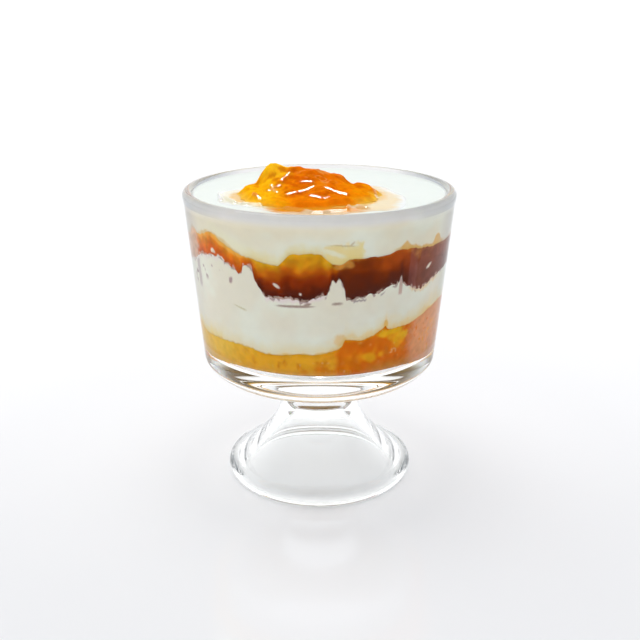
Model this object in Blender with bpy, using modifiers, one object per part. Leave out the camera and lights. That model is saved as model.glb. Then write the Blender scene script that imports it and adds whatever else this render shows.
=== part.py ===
"""A yogurt parfait in its footed dessert glass.

The glass is one turned piece: a thick bowl that widens upward, a short solid neck and a hollow bell foot.
From its floor up, the bowl holds orange jam, yogurt, dark jam and yogurt, and a heap of jam lies on top.
Z is up. The origin is the centre of the ring that the foot stands on, and the photographed front faces -Y.
"""

import bisect
import math

import bmesh
import bpy

MM = 0.001
COLLECTION = "yogurt_parfait"

# Glass, turned about Z
TURN_STEPS = 56
GLASS_HEIGHT = 109.0 * MM
RIM_RADIUS = 47.9 * MM
LIP_RADIUS = 1.95 * MM
WALL_TOP_RADIUS = 47.3 * MM  # outer radius just under the rolled rim
WALL_TOP_Z = 104.0 * MM
WALL_FOOT_RADIUS = 42.3 * MM  # outer radius where the straight wall ends
WALL_FOOT_Z = 48.5 * MM
INNER_LOW_RADIUS = 39.0 * MM
INNER_LOW_Z = 53.3 * MM
FLOOR_Z = 50.4 * MM
FLOOR_FILLET = 6.0 * MM
BELLY_Z = 37.6 * MM  # underside of the bowl where it meets the neck
BELLY_FULLNESS = 1.8  # exponent of the round between wall and underside: 2 is an ellipse
NECK_RADIUS = 14.9 * MM
NECK_BOTTOM_Z = 26.2 * MM
NECK_FILLET = 1.6 * MM
BELL_RADIUS = 31.1 * MM  # where the flare meets the bead
BELL_Z = 6.1 * MM
BELL_FLARE = 1.55  # exponent of the flare: 1 is a cone
BEAD_RADII = (3.3 * MM, 3.2 * MM)
STAND_RADII = (29.5 * MM, 31.4 * MM)  # the flat ring that the glass stands on
HOLLOW_FOOT = (28.4 * MM, 1.2 * MM)
HOLLOW_NECK = (8.6 * MM, 26.6 * MM)
HOLLOW_CAP = 2.7 * MM
HOLLOW_FLARE = 1.2
FILLET_STEPS = 5  # steps along each curve of the profile
LIP_STEPS = 8
BELLY_STEPS = 9
NECK_STEPS = 3
FLARE_STEPS = 7
BEAD_STEPS = 6
CAP_STEPS = 4

# Layers in the bowl
GAP = 0.3 * MM  # between any two pieces that touch
LAYER_STEPS = 72
LAYER_RINGS = (0.0, 0.22, 0.44, 0.64, 0.84, 1.0)  # as shares of the bowl's inner radius
FLOOR_RINGS = (0.0, 0.5, 0.84, 0.89, 0.93, 0.965, 0.99, 1.0)  # closest where the floor rounds up to the wall
YOGURT_WALL_Z = 107.6 * MM
YOGURT_CROWN = 0.4 * MM  # how much the top yogurt rises from wall to middle
CENTRE_WEIGHT = 0.45  # how much of a boundary's unevenness at the wall carries inward
SWELL = 1.2 * MM  # how far a boundary rises and falls between middle and wall
TOP_SWELL = 0.35 * MM

# Height in mm of each boundary on the wall, by the angle in degrees round from the front,
# positive to the right
JAM_BOTTOM_TOP = {
    -170: 63.5, -140: 62.0, -110: 63.4, -78: 62.0, -60: 61.0, -36: 61.4, -20: 60.2, -3: 61.0,
    7: 62.8, 14: 66.4, 24: 66.8, 34: 68.4, 50: 69.0, 64: 70.6, 80: 71.4, 110: 68.6, 145: 65.0,
}
DARK_JAM_LOW = {
    -172: 84.0, -140: 81.6, -105: 84.4, -72: 87.4, -55: 91.0, -44: 89.6, -34: 89.2, -27: 84.0,
    -20: 80.8, -6: 80.4, 2: 82.4, 9: 84.0, 16: 81.0, 28: 82.5, 38: 83.8, 49: 80.4, 64: 82.2,
    80: 83.4, 112: 81.4, 146: 82.8,
}
DARK_JAM_TOP = {
    -168: 95.0, -138: 96.6, -108: 94.2, -80: 96.4, -64: 98.0, -53: 99.2, -42: 95.8, -32: 93.3,
    -20: 92.2, -11: 95.6, -1: 95.8, 7: 93.4, 15: 95.6, 24: 94.6, 37: 96.2, 52: 96.6, 66: 97.4,
    84: 95.6, 114: 97.2, 146: 94.2,
}

# Heap of jam on the yogurt
HEAP_CENTRE = (-3.5 * MM, -12.0 * MM)
HEAP_RADII = (25.0 * MM, 19.5 * MM)
HEAP_WANDER = ((3, 0.05, 0.6), (7, 0.03, 0.0))  # the edge's waves: how many, their share of the radius, turn
HEAP_STEPS = 52
HEAP_RINGS = (0.0, 0.1, 0.2, 0.3, 0.4, 0.5, 0.6, 0.7, 0.8, 0.9, 0.97, 1.0)
HEAP_BASE_RINGS = (0.0, 0.35, 0.7, 1.0)
HEAP_EDGE = 0.35 * MM  # thickness where the heap ends
LUMP_BLEND = 4.0  # how sharply one lump gives way to the next

# Each lump's place, radius and height over the yogurt, in mm, from left to right
HEAP_LUMPS = (
    (-21.5, -9.0, 7.0, 3.0), (-20.0, -17.0, 9.0, 2.6), (-15.8, -6.0, 6.8, 9.7), (-13.5, -11.0, 8.5, 6.2),
    (-13.0, -25.0, 8.0, 1.8), (-10.0, 1.0, 7.5, 4.8), (-10.0, -17.0, 9.0, 4.4), (-9.5, -5.5, 9.0, 8.4),
    (-5.0, -12.0, 9.5, 6.6), (-4.0, -25.0, 8.5, 2.2), (-2.0, -6.0, 9.5, 7.9), (0.0, 1.0, 7.5, 4.2),
    (0.0, -17.0, 9.5, 4.4), (5.0, -6.0, 8.0, 6.0), (5.0, -12.0, 8.5, 4.8), (6.0, -25.0, 8.5, 2.0),
    (9.0, -16.0, 9.0, 3.4), (13.0, -8.0, 8.0, 3.2), (15.0, -19.0, 7.5, 2.0),
)


def clear_scene():
    for obj in list(bpy.data.objects):
        bpy.data.objects.remove(obj, do_unlink=True)


def material(name, colour, roughness, transmission=0.0):
    made = bpy.data.materials.new(name)
    made.use_nodes = True
    shader = made.node_tree.nodes["Principled BSDF"]
    shader.inputs["Base Color"].default_value = (*colour, 1.0)
    shader.inputs["Roughness"].default_value = roughness
    shader.inputs["Metallic"].default_value = 0.0
    shader.inputs["Transmission Weight"].default_value = transmission
    made.diffuse_color = (*colour, 1.0)
    return made


def turned(name, profile, steps, collection):
    """An object whose profile of (radius, height) points, which runs down its outside, is turned about Z."""
    outline = bmesh.new()
    corners = [outline.verts.new((radius, 0.0, height)) for radius, height in profile]
    for first, second in zip(corners, corners[1:]):
        outline.edges.new((first, second))
    mesh = bpy.data.meshes.new(name)
    outline.to_mesh(mesh)
    outline.free()
    obj = bpy.data.objects.new(name, mesh)
    collection.objects.link(obj)
    screw = obj.modifiers.new("Turn", "SCREW")
    screw.axis = "Z"
    screw.steps = steps
    screw.render_steps = steps
    screw.use_merge_vertices = True
    screw.merge_threshold = 0.01 * MM
    return obj


def shade(obj, look, sharp_degrees=40.0):
    obj.data.materials.clear()
    obj.data.materials.append(look)
    obj.data.shade_smooth()
    obj.data.set_sharp_from_angle(angle=math.radians(sharp_degrees))


def reshaped(obj, place):
    """The turned object with each point moved to place(x, y, z), and cut into triangles.

    Every face is split along its shorter diagonal, so two layers that share a boundary are split alike.
    """
    graph = bpy.context.evaluated_depsgraph_get()
    shape = bmesh.new()
    shape.from_object(obj, graph)
    for vertex in shape.verts:
        vertex.co = place(*vertex.co)
    bmesh.ops.triangulate(shape, faces=shape.faces, quad_method="SHORT_EDGE")
    obj.modifiers.clear()
    shape.to_mesh(obj.data)
    shape.free()
    return obj


def arc(centre, radii, start_degrees, end_degrees, count):
    """Points on an elliptical arc in the profile's plane, both ends included."""
    span = end_degrees - start_degrees
    angles = [math.radians(start_degrees + span * i / count) for i in range(count + 1)]
    return [(centre[0] + radii[0] * math.cos(a), centre[1] + radii[1] * math.sin(a)) for a in angles]


def flare(top, bottom, power, count):
    """A bell's flank, which widens downward from top to bottom, both (radius, height)."""
    points = []
    for i in range(count + 1):
        share = i / count
        radius = top[0] + (bottom[0] - top[0]) * share**power
        points.append((radius, top[1] + (bottom[1] - top[1]) * share))
    return points


def belly(count):
    """The round from the foot of the outer wall to the fillet above the neck."""
    end_radius = NECK_RADIUS + NECK_FILLET
    points = []
    for i in range(1, count):
        angle = math.radians(90.0 * i / count)
        reach = math.cos(angle) ** (2 / BELLY_FULLNESS)
        drop = math.sin(angle) ** (2 / BELLY_FULLNESS)
        radius = end_radius + (WALL_FOOT_RADIUS - end_radius) * reach
        points.append((radius, WALL_FOOT_Z - (WALL_FOOT_Z - BELLY_Z) * drop))
    return points


def inner_radius(z):
    """Radius of the bowl's inner wall at height z."""
    top_radius = RIM_RADIUS - 2 * LIP_RADIUS
    top_z = GLASS_HEIGHT - LIP_RADIUS
    share = (z - INNER_LOW_Z) / (top_z - INNER_LOW_Z)
    return INNER_LOW_RADIUS + share * (top_radius - INNER_LOW_RADIUS)


def glass_profile():
    """From the middle of the bowl's floor, up its inside, over the lip, down and up the hollow foot."""
    fillet_top = FLOOR_Z + FLOOR_FILLET
    fillet_centre = (inner_radius(fillet_top) - FLOOR_FILLET, fillet_top)
    lip_centre = (RIM_RADIUS - LIP_RADIUS, GLASS_HEIGHT - LIP_RADIUS)
    neck_centre = (NECK_RADIUS + NECK_FILLET, BELLY_Z - NECK_FILLET)
    bead_centre = (STAND_RADII[1], BEAD_RADII[1])
    cap_radii = (HOLLOW_NECK[0], HOLLOW_CAP)
    profile = [(0.0, FLOOR_Z), (0.6 * INNER_LOW_RADIUS, FLOOR_Z)]
    profile += arc(fillet_centre, (FLOOR_FILLET, FLOOR_FILLET), -90.0, 0.0, FILLET_STEPS)
    profile += arc(lip_centre, (LIP_RADIUS, LIP_RADIUS), 180.0, 0.0, LIP_STEPS)
    profile.append((WALL_TOP_RADIUS, WALL_TOP_Z))
    profile.append((WALL_FOOT_RADIUS, WALL_FOOT_Z))
    profile += belly(BELLY_STEPS)
    profile += arc(neck_centre, (NECK_FILLET, NECK_FILLET), 90.0, 180.0, NECK_STEPS)
    profile += flare((NECK_RADIUS, NECK_BOTTOM_Z), (BELL_RADIUS, BELL_Z), BELL_FLARE, FLARE_STEPS)
    profile += arc(bead_centre, BEAD_RADII, 40.0, -90.0, BEAD_STEPS)
    profile.append((STAND_RADII[0], 0.0))
    profile += flare(HOLLOW_NECK, HOLLOW_FOOT, HOLLOW_FLARE, FLARE_STEPS)[::-1]
    profile += arc((0.0, HOLLOW_NECK[1]), cap_radii, 0.0, 90.0, CAP_STEPS)[1:-1]
    profile.append((0.0, HOLLOW_NECK[1] + HOLLOW_CAP))
    return profile


def wall_height(stations, angle):
    """Smooth height round the wall through a boundary's stations, which repeat every full turn."""
    angles = sorted(stations)
    place = bisect.bisect_right(angles, angle) - 1
    around = [place - 1, place, place + 1, place + 2]
    before, low, high, after = (angles[i % len(angles)] + 360.0 * (i // len(angles)) for i in around)
    z0, z1, z2, z3 = (stations[angles[i % len(angles)]] for i in around)
    share = (angle - low) / (high - low)
    tilt_low = (z2 - z0) / (high - before) * (high - low)
    tilt_high = (z3 - z1) / (after - low) * (high - low)
    return MM * (
        z1 * (1 - share) ** 2 * (1 + 2 * share)
        + z2 * share**2 * (3 - 2 * share)
        + tilt_low * share * (1 - share) ** 2
        - tilt_high * share**2 * (1 - share)
    )


def boundary(stations):
    """A surface across the bowl: the stations' line at the wall, with calmer, low swells farther in."""
    mean = MM * sum(stations.values()) / len(stations)

    def height(share, angle):
        unevenness = wall_height(stations, angle) - mean
        weight = share * (CENTRE_WEIGHT + (1 - CENTRE_WEIGHT) * share**3)
        swell = SWELL * math.sin(math.pi * share) * math.sin(math.radians(3 * angle) + 5 * share)
        return mean + unevenness * weight + swell

    return height


def jam_underside(share, angle):
    """Where the lowest jam meets the glass: its floor, and the round up into the wall."""
    fillet_top = FLOOR_Z + FLOOR_FILLET
    reach = inner_radius(fillet_top) - GAP
    radius = FLOOR_FILLET - GAP
    past = share * reach - (reach - radius)
    drop = radius if past <= 0.0 else math.sqrt(max(radius**2 - past**2, 0.0))
    return fillet_top - drop - GAP / 2


def yogurt_surface(share, angle):
    """The top of the yogurt: nearly level, highest in the middle."""
    swell = TOP_SWELL * share * (1 - share) * math.sin(math.radians(2 * angle) + 1.0)
    return YOGURT_WALL_Z + YOGURT_CROWN * (1 - share**2) + swell


def drum_profile(top_rings, bottom_rings):
    """A drum of radius 1 and height 1, from the middle of its top to the middle of its bottom."""
    return [(ring, 1.0) for ring in top_rings] + [(ring, 0.0) for ring in reversed(bottom_rings)]


def layer(name, low, high, look, collection, low_rings=LAYER_RINGS):
    """Food that fills the bowl between two surfaces, each a function of radius share and angle."""

    def place(x, y, z):
        share = math.hypot(x, y)
        angle = math.degrees(math.atan2(x, -y))
        height = high(share, angle) - GAP / 2 if z > 0.5 else low(share, angle) + GAP / 2
        reach = inner_radius(height) - GAP
        return (x * reach, y * reach, height)

    drum = turned(name, drum_profile(LAYER_RINGS, low_rings), LAYER_STEPS, collection)
    shade(reshaped(drum, place), look)


def heap_thickness(x, y):
    """How far the heap stands over its edge at a point: its lumps, blended where they meet."""
    total = 0.0
    for lump_x, lump_y, radius, height in HEAP_LUMPS:
        distance = math.hypot(x / MM - lump_x, y / MM - lump_y) / radius
        if distance < 1.0:
            total += (height * (1 - distance**2)) ** LUMP_BLEND
    return MM * total ** (1 / LUMP_BLEND)


def jam_heap(name, look, collection):
    """The heap of jam: its underside follows the yogurt, and its top is the lumps."""

    def place(x, y, z):
        angle = math.atan2(y, x)
        wander = 1.0 + sum(size * math.sin(waves * angle + turn) for waves, size, turn in HEAP_WANDER)
        heap_x = HEAP_CENTRE[0] + HEAP_RADII[0] * wander * x
        heap_y = HEAP_CENTRE[1] + HEAP_RADII[1] * wander * y
        share = math.hypot(heap_x, heap_y) / inner_radius(YOGURT_WALL_Z)
        height = yogurt_surface(share, math.degrees(math.atan2(heap_x, -heap_y))) + GAP
        if z > 0.5:
            height += HEAP_EDGE + heap_thickness(heap_x, heap_y)
        return (heap_x, heap_y, height)

    drum = turned(name, drum_profile(HEAP_RINGS, HEAP_BASE_RINGS), HEAP_STEPS, collection)
    shade(reshaped(drum, place), look)


def main():
    clear_scene()
    collection = bpy.data.collections.new(COLLECTION)
    bpy.context.scene.collection.children.link(collection)
    clear_glass = material("clear_glass", (0.96, 0.98, 0.97), 0.02, transmission=1.0)
    orange_jam = material("orange_jam", (0.72, 0.27, 0.03), 0.18)
    dark_jam = material("dark_jam", (0.22, 0.05, 0.01), 0.22)
    yogurt = material("yogurt", (0.86, 0.84, 0.76), 0.4)
    heap_jam = material("heap_jam", (0.84, 0.30, 0.02), 0.12)

    glass = turned("glass", glass_profile(), TURN_STEPS, collection)
    shade(glass, clear_glass)

    jam_top = boundary(JAM_BOTTOM_TOP)
    dark_low = boundary(DARK_JAM_LOW)
    dark_top = boundary(DARK_JAM_TOP)
    layer("jam_bottom", jam_underside, jam_top, orange_jam, collection, FLOOR_RINGS)
    layer("yogurt_middle", jam_top, dark_low, yogurt, collection)
    layer("jam_dark", dark_low, dark_top, dark_jam, collection)
    layer("yogurt_top", dark_top, yogurt_surface, yogurt, collection)
    jam_heap("jam_heap", heap_jam, collection)


if __name__ == "__main__":
    main()
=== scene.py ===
"""The yogurt parfait dressed for its photograph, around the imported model.

The glass is finely turned, four layers fill it and reach just into its wall, and a heap of jam lies on top in
thin syrup. Lengths are in metres, angles round the glass in degrees from the photographed front, positive to
the right, and colours are written as they look on screen, from 0 to 255.
"""

import math

import bpy
import numpy as np
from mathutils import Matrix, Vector


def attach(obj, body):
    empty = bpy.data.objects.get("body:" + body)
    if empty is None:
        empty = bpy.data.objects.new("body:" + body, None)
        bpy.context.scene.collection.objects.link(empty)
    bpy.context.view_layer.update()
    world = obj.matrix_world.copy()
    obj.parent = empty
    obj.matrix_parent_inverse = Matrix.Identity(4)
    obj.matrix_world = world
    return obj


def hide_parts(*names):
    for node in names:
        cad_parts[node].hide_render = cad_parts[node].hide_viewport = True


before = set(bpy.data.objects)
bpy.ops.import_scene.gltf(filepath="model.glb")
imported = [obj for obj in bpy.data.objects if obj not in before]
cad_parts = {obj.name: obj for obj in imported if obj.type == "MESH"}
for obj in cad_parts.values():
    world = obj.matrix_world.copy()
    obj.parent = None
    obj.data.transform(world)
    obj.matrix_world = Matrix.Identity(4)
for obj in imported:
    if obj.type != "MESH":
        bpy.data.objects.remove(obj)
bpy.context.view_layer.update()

MM = 0.001

# Glass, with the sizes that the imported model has
GLASS_HEIGHT = 109.0 * MM
RIM_RADIUS = 47.9 * MM
LIP_RADIUS = 1.95 * MM
WALL_TOP = (47.3 * MM, 104.0 * MM)
WALL_FOOT = (42.3 * MM, 48.5 * MM)
INNER_LOW = (39.0 * MM, 53.3 * MM)
FLOOR_Z = 50.4 * MM
FLOOR_FILLET = 6.0 * MM
BELLY_Z = 37.6 * MM
BELLY_FULLNESS = 1.8
NECK_RADIUS = 14.9 * MM
NECK_BOTTOM_Z = 26.2 * MM
NECK_FILLET = 1.6 * MM
BELL = (31.1 * MM, 6.1 * MM)
BELL_FLARE = 1.55
BEAD_RADII = (3.3 * MM, 3.2 * MM)
STAND_RADII = (29.5 * MM, 31.4 * MM)
HOLLOW_FOOT = (28.4 * MM, 1.2 * MM)
HOLLOW_NECK = (8.6 * MM, 26.6 * MM)
HOLLOW_CAP = 2.7 * MM
HOLLOW_FLARE = 1.2
GLASS_STEPS = 200
PROFILE_STEP = 0.7 * MM
WALL_LOOK = (56.0 * MM, 104.0 * MM)  # heights between which the wall's outside has its own look
RIM_LOOK = 105.6 * MM  # and from where up the rim has its own
CLEAR_TINT = (0.985, 0.995, 0.99)
OUTLINE_SHADE = (0.34, 0.39, 0.42)  # painted shade where the glass is seen edge on
OUTLINE_FACING = (0.62, 1.0)  # from how much edge on that tint sets in
SHADOW_TINT = (0.985, 0.99, 0.988)
RIM_TINT = (1.0, 0.985, 0.97)
RIM_SIDE_SHADE = (0.42, 0.46, 0.50)  # painted shade: the rim is tinted grey at its sides
RIM_SIDE = (30.0 * MM, 46.0 * MM)  # how far from the middle it turns grey
PROFILE_SOFTNESS = 1.0 * MM  # how far the pressed glass rounds off its profile's bends

# Food
WALL_BITE = 0.15 * MM  # how far the food reaches into the wall, so that no air shows between them
FRONT_STEPS = 720  # round the photographed side of the food, and round its back
BACK_STEPS = 200
FRONT_REACH = 100.0
FLOOR_AIR = 0.25 * MM
JAM_EDGE_Z = 53.6 * MM  # where the lowest jam leaves the wall, and how much lower that is at the sides
JAM_EDGE_DROP = 2.3 * MM
YOGURT_WALL_Z = 107.6 * MM
YOGURT_CROWN = 0.4 * MM

# Camera, as fitted to the rim, the wall and the foot in the photograph
CAMERA_PLACE = (0.00022, -0.3169, 0.1704)
CAMERA_PITCH = 19.34  # degrees below level
FOCAL_PIXELS = 911.4
FRAME_PIXELS = 640
SENSOR_MM = 36.0

# Heights in mm of the boundaries on the wall by angle, with the crags that show at the front
JAM_BOTTOM_TOP = {
    -170: 63.5, -140: 62.0, -110: 63.4, -78: 62.1, -70: 60.6, -58: 61.0, -48: 61.5, -36: 61.4, -25.5: 60.4,
    -21: 60.2, -11.5: 61.3, -3: 61.2, 3: 61.9, 6: 62.6, 10: 64.1, 12: 66.8, 15: 66.2, 19: 66.0, 24: 66.5,
    28: 68.0, 30.2: 68.9, 31.5: 69.7, 32.8: 68.8, 34: 68.4, 45: 68.2, 52: 69.0, 60: 70.5, 80: 71.6,
    110: 68.6, 145: 65.0,
}
DARK_JAM_LOW = {
    -172: 84.0, -140: 81.6, -105: 84.4, -80: 86.0, -72: 86.8, -66: 89.4, -62: 90.2, -57: 91.1, -50: 91.5,
    -44: 89.7, -39: 88.3, -37: 87.0, -35.6: 87.6, -34.4: 90.4, -32: 91.2, -30: 90.2, -28.8: 86.4, -26: 82.9,
    -23: 80.9, -15: 80.7, -7: 80.1, -2: 81.4, 3: 82.6, 4.6: 84.6, 5.5: 86.9, 7: 86.2, 8.3: 87.9, 9.6: 86.0,
    10.8: 83.6, 11.8: 80.2, 18: 80.8, 27: 82.3, 33: 83.3, 36.6: 84.2, 38: 86.3, 39.4: 83.8, 42.5: 82.3,
    49: 80.0, 57: 80.9, 66: 82.5, 78: 83.4, 112: 81.4, 146: 82.8,
}
DARK_JAM_TOP = {
    -168: 95.0, -138: 96.6, -108: 94.2, -84: 94.2, -77: 95.2, -70.5: 98.2, -64: 97.0, -53: 99.4, -47: 97.7,
    -41: 95.5, -36: 93.9, -32: 93.2, -27: 92.7, -23: 91.8, -18: 91.9, -14: 94.4, -11: 95.8, -6: 96.1, 0: 95.9,
    3: 94.3, 6: 92.8, 9: 92.6, 13: 94.1, 21.5: 94.1, 30: 94.3, 37: 95.4, 44: 94.9, 51: 94.3, 61: 93.9,
    74: 93.9, 90: 95.0, 114: 97.2, 146: 94.2,
}

# Ragged patches on the wall: strength, then centre in degrees and mm, half size, noise seed, softness and
# raggedness of the edge, and where they aren't the usual ones the size of its teeth in mm and the tilt
YELLOW_FRUIT = (
    (1.0, (35, 67.2), (8, 1.1), 23, 0.8, 0.5, 2.5, 0.06), (1.0, (40, 65.2), (5, 1.6), 26, 0.9, 0.7),
    (0.7, (24, 59.5), (6, 1.6), 27, 0.9, 0.8),
)
# Pale flecks in the dark jam: yogurt specks, and painted highlights where the wet jam shines.
PALE_FLECKS = (
    (1.0, (-18.8, 85.0), (1.4, 0.55), 34, 0.5, 0.3, 1.5, -0.35),
    (1.0, (-8.1, 82.6), (0.6, 0.4), 37, 0.6, 0.2, 1.5),
    (1.0, (-52.6, 93.0), (1.6, 0.8), 35, 0.5, 0.4, 1.2, -0.2),
    (1.0, (-46.8, 91.1), (2.4, 0.6), 36, 0.5, 0.5, 1.2, -0.25),
    (1.0, (56.5, 87.2), (1.6, 0.7), 38, 0.5, 0.6, 1.0, 0.3),
)
JAM_LINES = (
    (1.0, (9.5, 98.7), (6.0, 0.22), 44, 0.7, 0.25, 4.0, -0.05),
    (1.0, (13.6, 99.2), (1.2, 0.5), 45, 0.6, 0.3, 2.0, 0.6),
)
SMEARS = (
    (1.0, (-11, 78.3), (7.5, 0.42), 54, 0.6, 0.2, 5.0, 0.02),
    (1.0, (7.6, 79.3), (2.6, 0.55), 55, 0.6, 0.3, 3.0, 0.03),
    (1.0, (-5.2, 79.1), (1.6, 0.45), 56, 0.6, 0.2, 3.0, 0.15),
)
SPIKES = (
    (1.0, (31.6, 70.4), (1.1, 1.9), 61, 0.8, 0.35, 1.6), (0.7, (9.5, 66.3), (2.6, 1.8), 62, 0.9, 0.6, 2.0),
)

# Heap of jam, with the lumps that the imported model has: x, y, radius and height over the yogurt, in mm
HEAP_CENTRE = (-3.5 * MM, -12.0 * MM)
HEAP_RADII = (25.0 * MM, 19.5 * MM)
HEAP_EDGE = 0.35 * MM
LUMP_BLEND = 4.0
HEAP_LUMPS = (
    (-21.5, -9.0, 7.0, 3.0), (-20.0, -17.0, 9.0, 2.6), (-15.8, -6.0, 6.8, 9.7), (-13.5, -11.0, 8.5, 6.2),
    (-13.0, -25.0, 8.0, 1.8), (-10.0, 1.0, 7.5, 4.8), (-10.0, -17.0, 9.0, 4.4), (-9.5, -5.5, 9.0, 8.4),
    (-5.0, -12.0, 9.5, 6.6), (-4.0, -25.0, 8.5, 2.2), (-2.0, -6.0, 9.5, 7.9), (0.0, 1.0, 7.5, 4.2),
    (0.0, -17.0, 9.5, 4.4), (5.0, -6.0, 8.0, 6.0), (5.0, -12.0, 8.5, 4.8), (6.0, -25.0, 8.5, 2.0),
    (9.0, -16.0, 9.0, 3.4), (13.0, -8.0, 8.0, 3.2), (15.0, -19.0, 7.5, 2.0),
)
HEAP_RINGS = 170
HEAP_STEPS = 400
HEAP_SINK = 0.4 * MM  # how far its underside lies in the yogurt
HEAP_UNDERSIDE_STEP = 12  # its underside has every twelfth ring
SHRED_COUNT = 46
WRINKLES = 0.10 * MM
SIDE_LIGHT = 0.73  # how bright a white surface looks through the wall
TOP_LIGHT = 1.18  # and on top of the glass
HEAP_LIGHT = 1.02  # and how bright it would look on the heap's slopes
BRIGHTEST = 0.97  # no surface sends back more light than this share

# Lamps: name, place, size and power. Only the wet strands and the syrup mirror the glints.
KEY_LAMP = ("key", (-0.25, 0.15, 0.75), (0.35, 0.35), 0.5)
FILL_LAMPS = (
    ("front_fill", (-0.42, -0.62, 0.42), (0.45, 0.35), 1.4),
    ("side_fill", (0.55, -0.45, 0.36), (0.35, 0.35), 0.45),
)
GLINTS = (
    ("glint_strip", (0.0, 0.10, 0.66), (0.40, 0.34), 16.0),
    ("glint_side", (-0.25, -0.20, 0.55), (0.08, 0.08), 2.0),
)
FOOD_MIDDLE = (0.0, 0.0, 0.08)
HEAP_MIDDLE = (0.0, -0.01, 0.11)
FOOT_SPOTS = (("foot_fill", 0.65, 38.0), ("foot_fill_narrow", 1.4, 15.0))  # name, power and spread in degrees
SPOT_HEIGHT = 0.4

# Room and floor
ROOM_DARK = (0.12, 0.15, 0.17)
ROOM_WHITE = (0.99, 0.99, 1.0)
ROOM_STRENGTH = 1.26
FLOOR_HALF = 40.0
FLOOR_WHITE = (0.90, 0.90, 0.912)

# Looks of the foods: roughness, gloss, strength and scale of the mottle, height of the fine relief, then the
# share of light that passes under the surface and how far its red, green and blue reach
FOOD_LOOKS = {
    "orange_jam": (0.3, 0.0, 0.07, 420.0, 0.1 * MM, 0.25, (1.0, 0.45, 0.1)),
    "dark_jam": (0.3, 0.0, 0.16, 380.0, 0.1 * MM, 0.0, (1.0, 0.5, 0.2)),
    "yogurt": (0.38, 0.35, 0.012, 300.0, 0.05 * MM, 0.2, (1.0, 0.9, 0.7)),
    "heap_jam": (0.3, 0.0, 0.08, 500.0, 0.0, 0.5, (1.0, 0.45, 0.08)),
    "wet_strands": (0.05, 0.5, 0.08, 500.0, 0.0, 0.5, (1.0, 0.45, 0.08)),
    "jam_syrup": (0.05, 0.10, 0.02, 300.0, 0.0, 0.3, (1.0, 0.7, 0.4)),
}

# Wet strands that stand out of the heap and catch the light: middle, half length, half width in mm, heading
STRANDS = (
    (-15.1, -17.3, 1.8, 0.7, 11), (-15.2, -18.1, 2.8, 0.6, -68), (-20.5, -21.9, 1.7, 0.9, -54),
    (-4.2, -17.0, 1.6, 0.9, 8), (-4.1, -20.0, 2.4, 0.7, 27), (-1.2, -24.8, 1.6, 1.0, -17),
    (2.0, -25.2, 1.1, 0.7, 9), (5.7, -20.4, 3.4, 0.8, -18), (9.1, -30.2, 2.4, 0.8, -103),
    (12.8, -30.6, 2.0, 0.8, -47), (19.4, -15.1, 4.6, 0.9, -78), (-9.0, -22.5, 1.6, 0.6, 26),
    (-21.8, -25.9, 2.6, 0.7, -14), (6.2, -30.8, 0.9, 0.6, -45),
    (-11.5, -12.5, 2.4, 0.8, 60),
)
STRAND_HEIGHT = 0.85  # as a share of the half width
STRAND_FOOT = 2.0  # how far its flanks reach, in half widths
STRAND_SHINE = 1.1  # and how far the part that shines does

# Outline of the syrup on the yogurt, in mm, from its left tip round the front
SYRUP_OUTLINE = (
    (-35.4, -4.9), (-34.6, -11.0), (-34.0, -16.3), (-33.4, -21.0), (-31.5, -25.6), (-27.7, -26.6),
    (-23.2, -28.5), (-19.5, -32.2), (-15.7, -35.2), (-12.6, -37.8), (-9.9, -39.9), (-3.0, -41.8),
    (4.0, -41.4), (9.6, -38.4), (16.7, -35.2), (21.7, -34.5), (25.8, -32.5), (28.0, -27.0), (28.4, -21.6),
    (28.8, -12.6), (25.5, -3.0), (22.6, 5.1), (18.0, 7.6), (8.0, 5.0), (-8.0, 6.0), (-20.0, 4.0),
    (-29.0, 0.5),
)
SYRUP_CENTRE = (-3.5, -16.0)
SYRUP_STEPS = 400
SYRUP_RINGS = 90
SYRUP_RIDGES = (
    ((-10.5, -32.0), (-7.5, -34.0)), ((-7.5, -34.0), (-4.4, -36.0)), ((-4.4, -36.0), (-2.0, -38.2)),
    ((-2.0, -38.2), (1.0, -38.0)), ((1.0, -38.0), (3.2, -36.4)), ((3.2, -36.4), (8.5, -35.6)),
    ((-24.6, -25.2), (-19.0, -26.6)), ((-34.0, -10.0), (-32.8, -20.0)), ((-32.4, -14.0), (-27.6, -23.6)),
    ((9.4, -29.6), (8.6, -33.0)), ((12.2, -29.4), (14.8, -31.6)),
)
RIDGE_WIDTH = 1.4 * MM
RIDGE_HEIGHT = 0.8 * MM
SYRUP_DEPTH = 0.14 * MM
SYRUP_SINK = 0.25 * MM
SYRUP_UNDERSIDE_STEP = 9


def linear(red, green, blue):
    """A colour as it looks on screen, turned into the linear numbers that shaders take."""
    share = np.array([red, green, blue]) / 255.0
    return np.where(share <= 0.04045, share / 12.92, ((share + 0.055) / 1.055) ** 2.4)


def seen(red, green, blue):
    """The surface colour of food that looks like this through the wall."""
    return lit(red, green, blue, SIDE_LIGHT)


def lit(red, green, blue, light=TOP_LIGHT):
    """The surface colour of food that looks like this on top of the glass."""
    return np.clip(linear(red, green, blue) / light, 0.0, BRIGHTEST)


def heaped(red, green, blue):
    """The surface colour of jam that looks like this on the heap."""
    return lit(red, green, blue, HEAP_LIGHT)


def smooth(low, high, value):
    """0 below low, 1 above high and a smooth rise between. low may be the larger, for a fall."""
    share = np.clip((value - low) / (high - low), 0.0, 1.0)
    return share * share * (3 - 2 * share)


def blend(first, second, weight):
    """Colours mixed point by point: weight 0 gives the first and 1 the second."""
    weight = np.asarray(weight)[..., None]
    return first * (1 - weight) + second * weight


def bump(value, centre, width):
    """1 at the centre and 0 a width away from it."""
    return smooth(1.0, 0.0, np.abs(value - centre) / width)


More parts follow.
